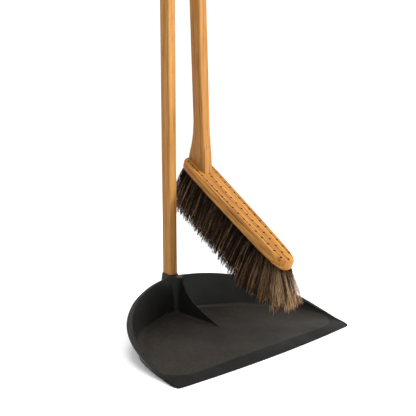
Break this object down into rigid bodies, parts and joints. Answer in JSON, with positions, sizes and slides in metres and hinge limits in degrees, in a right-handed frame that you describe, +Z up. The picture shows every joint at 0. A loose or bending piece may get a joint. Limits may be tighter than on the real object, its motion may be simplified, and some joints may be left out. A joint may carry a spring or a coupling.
{
  "type": "dustpan and brush set",
  "caption": "Long-handled dustpan with two rounded bays and a sloping front lip, and an upright wooden brush with horsehair tufts hanging beside its handle.",
  "frame": {"origin": "on the ground at the middle of the whole set's footprint, below the centre of its bounding box", "axes": "+Z up along the handles, the pan's open front faces -Y, +X to the right of someone facing the pan's back wall from its front edge"},
  "size_m": [0.2666, 0.233, 0.85],
  "materials": {
    "black_plastic": "fine grained black moulding",
    "beech": "oiled beech",
    "beech_block": "oiled beech",
    "steel": "plain steel screw",
    "wire": "drawn wire",
    "horsehair": "dark horsehair with lighter tips"
  },
  "bodies": {
    "pan": {"pan_body": "black_plastic", "pan_handle": "beech", "pan_handle_screw": "steel"},
    "brush": {"brush_block": "beech_block", "brush_handle": "beech", "brush_screw_1": "steel", "brush_screw_2": "steel", "draw_wire_left": "wire", "draw_wire_middle": "wire", "draw_wire_right": "wire", "tuft_left_01": "horsehair", "tuft_left_02": "horsehair", "tuft_left_03": "horsehair", "tuft_left_04": "horsehair", "tuft_left_05": "horsehair", "tuft_left_06": "horsehair", "tuft_left_07": "horsehair", "tuft_left_08": "horsehair", "tuft_left_09": "horsehair", "tuft_left_10": "horsehair", "tuft_left_11": "horsehair", "tuft_left_12": "horsehair", "tuft_left_13": "horsehair", "tuft_left_14": "horsehair", "tuft_left_15": "horsehair", "tuft_left_16": "horsehair", "tuft_left_17": "horsehair", "tuft_left_18": "horsehair", "tuft_middle_01": "horsehair", "tuft_middle_02": "horsehair", "tuft_middle_03": "horsehair", "tuft_middle_04": "horsehair", "tuft_middle_05": "horsehair", "tuft_middle_06": "horsehair", "tuft_middle_07": "horsehair", "tuft_middle_08": "horsehair", "tuft_middle_09": "horsehair", "tuft_middle_10": "horsehair", "tuft_middle_11": "horsehair", "tuft_middle_12": "horsehair", "tuft_middle_13": "horsehair", "tuft_middle_14": "horsehair", "tuft_middle_15": "horsehair", "tuft_right_01": "horsehair", "tuft_right_02": "horsehair", "tuft_right_03": "horsehair", "tuft_right_04": "horsehair", "tuft_right_05": "horsehair", "tuft_right_06": "horsehair", "tuft_right_07": "horsehair", "tuft_right_08": "horsehair", "tuft_right_09": "horsehair", "tuft_right_10": "horsehair", "tuft_right_11": "horsehair", "tuft_right_12": "horsehair", "tuft_right_13": "horsehair", "tuft_right_14": "horsehair", "tuft_right_15": "horsehair", "tuft_right_16": "horsehair", "tuft_right_17": "horsehair"}
  },
  "joints": [
    {"name": "brush_lift", "type": "slide", "parent": "pan", "child": "brush", "axis": [0, 0, 1], "range_m": [0, 0.3]}
  ]
}
